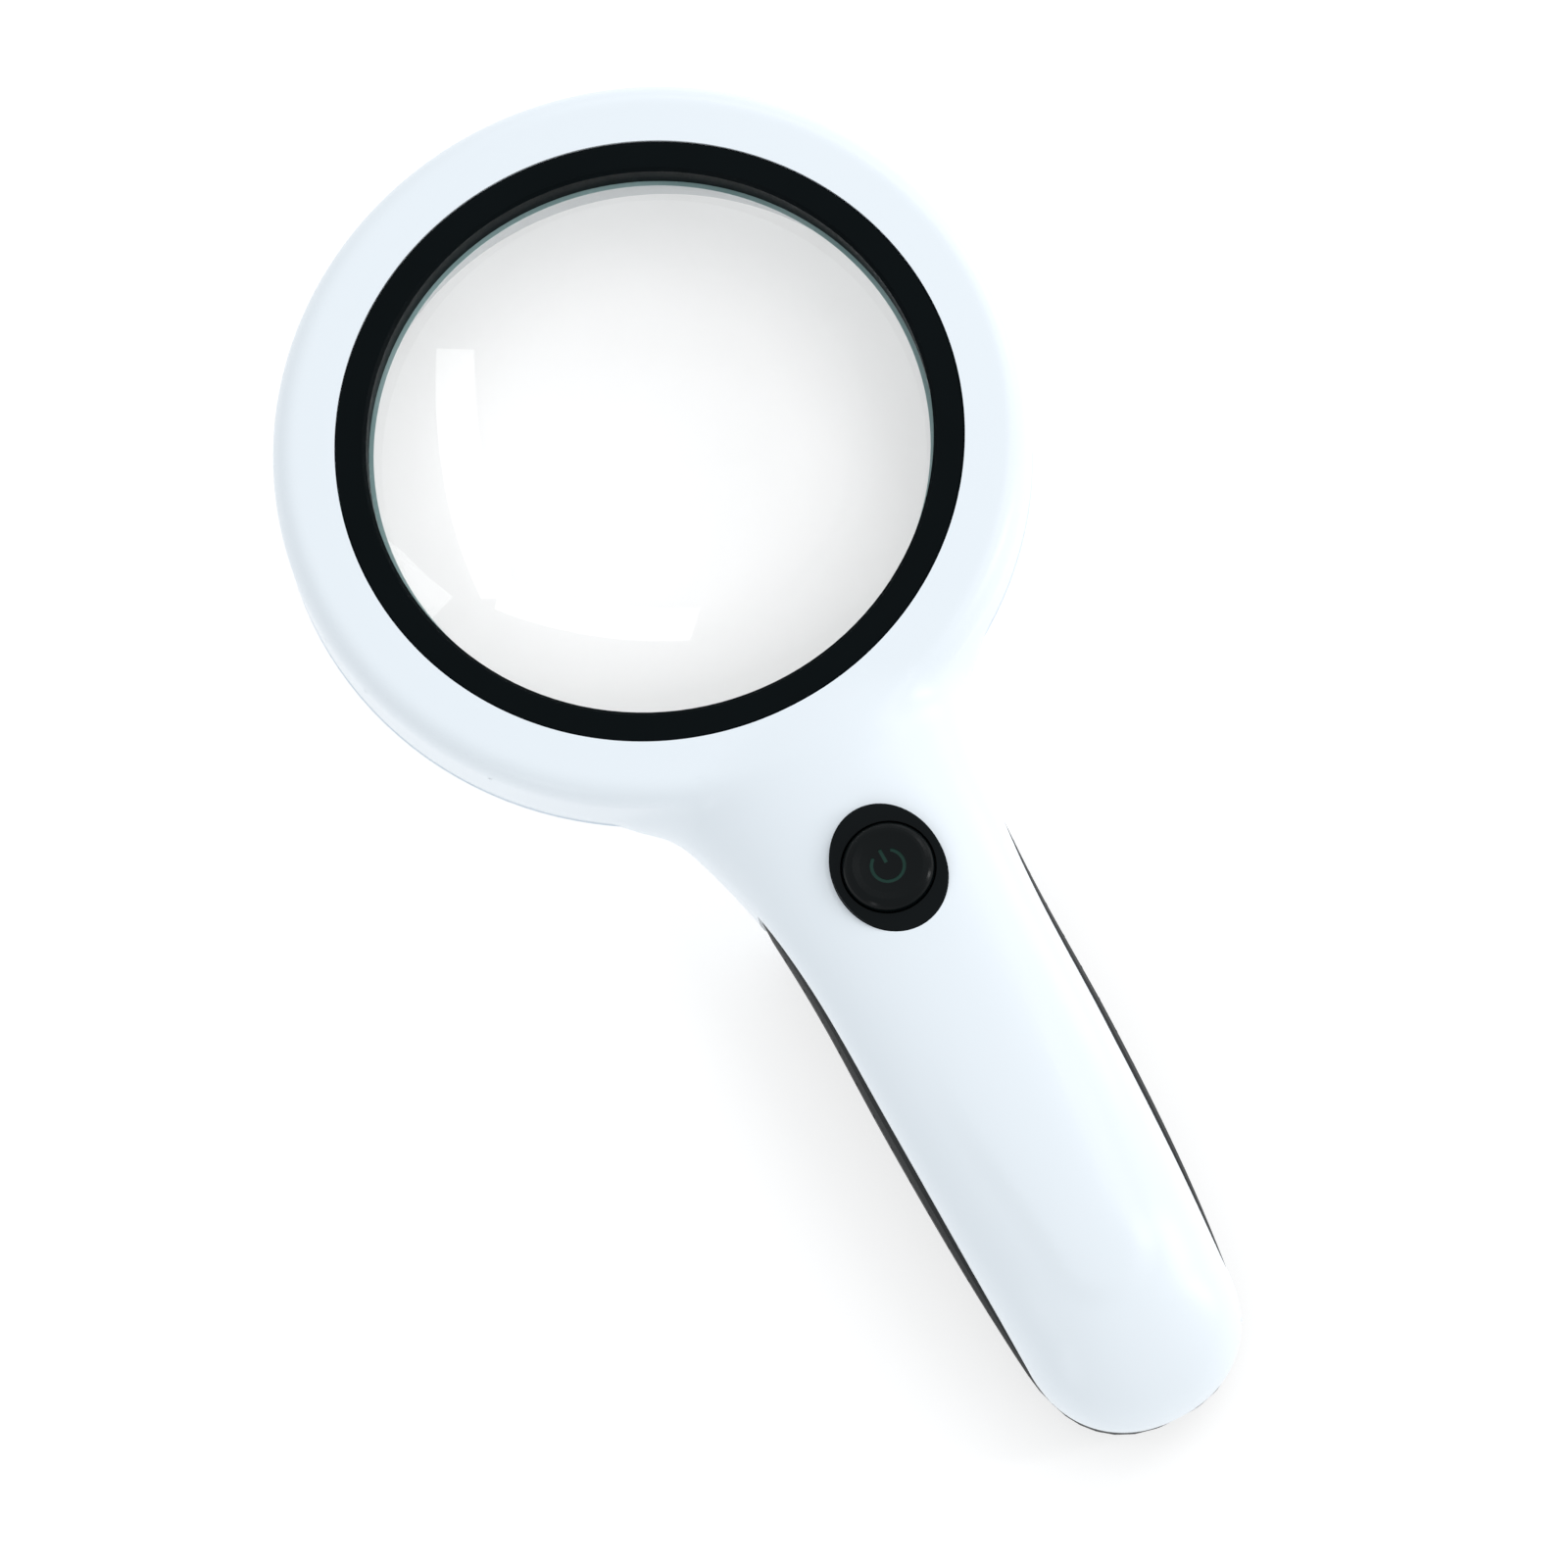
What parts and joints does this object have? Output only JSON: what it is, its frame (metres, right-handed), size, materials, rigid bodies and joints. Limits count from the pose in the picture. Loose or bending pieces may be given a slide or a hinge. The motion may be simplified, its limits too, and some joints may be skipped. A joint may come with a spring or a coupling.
{
  "type": "hand-held illuminated magnifier",
  "caption": "Hand magnifier with a round glass lens in a black bezel, white body, lamp ring, push button and battery handle.",
  "frame": {"origin": "middle of the footprint, on the surface that the magnifier lies on", "axes": "+Z along the lens axis out of the front face, +Y from the tail of the handle to the head"},
  "size_m": [0.1024, 0.2022, 0.0279],
  "materials": {
    "white_shell": "satin moulded",
    "soft_black": "matt soft touch",
    "bezel_black": "satin",
    "lens_glass": "polished",
    "gasket_rubber": "matt",
    "cover_white": "satin",
    "board_green": "solder mask",
    "lamp_clear": "clear",
    "resistor_black": "matt",
    "button_black": "satin",
    "switch_blue": "matt",
    "plunger_white": "matt",
    "spring_steel": "plain",
    "screw_steel": "plain",
    "tray_black": "matt",
    "battery_case": "printed sleeve",
    "contact_metal": "nickel plated",
    "door_black": "satin",
    "wire_red": "insulated",
    "wire_black": "insulated",
    "wire_white": "insulated"
  },
  "bodies": {
    "body": {"front_shell": "white_shell", "rear_shell": "white_shell", "soft_grip": "soft_black", "lens_bezel": "bezel_black", "magnifying_lens": "lens_glass", "lens_gasket": "gasket_rubber", "lamp_cover_ring": "cover_white", "lamp_board": "board_green", "lamps": "lamp_clear", "lamp_resistors": "resistor_black", "switch_surround": "bezel_black", "switch_case": "switch_blue", "switch_spring": "spring_steel", "switch_board": "board_green", "board_screws": "screw_steel", "housing_screws": "screw_steel", "battery_tray": "tray_black", "battery_left": "battery_case", "battery_right": "battery_case", "battery_top": "battery_case", "positive_terminal": "contact_metal", "negative_terminal": "contact_metal", "front_bridge": "contact_metal", "rear_bridge": "contact_metal", "cell_springs": "spring_steel", "positive_wire": "wire_red", "negative_wire": "wire_black", "lamp_wire_live": "wire_red", "lamp_wire_return": "wire_white"},
    "button": {"power_button": "button_black", "switch_plunger": "plunger_white"},
    "door": {"battery_door": "door_black"}
  },
  "joints": [
    {"name": "button_press", "type": "slide", "parent": "body", "child": "button", "axis": [0, 0, -1], "range_m": [0, 0.0016], "stiffness_N_per_m": 1200, "springref_m": -0.0008, "deforming": ["switch_spring"]},
    {"name": "door_slide", "type": "slide", "parent": "body", "child": "door", "axis": [0, -1, 0], "range_m": [0, 0.08]}
  ]
}
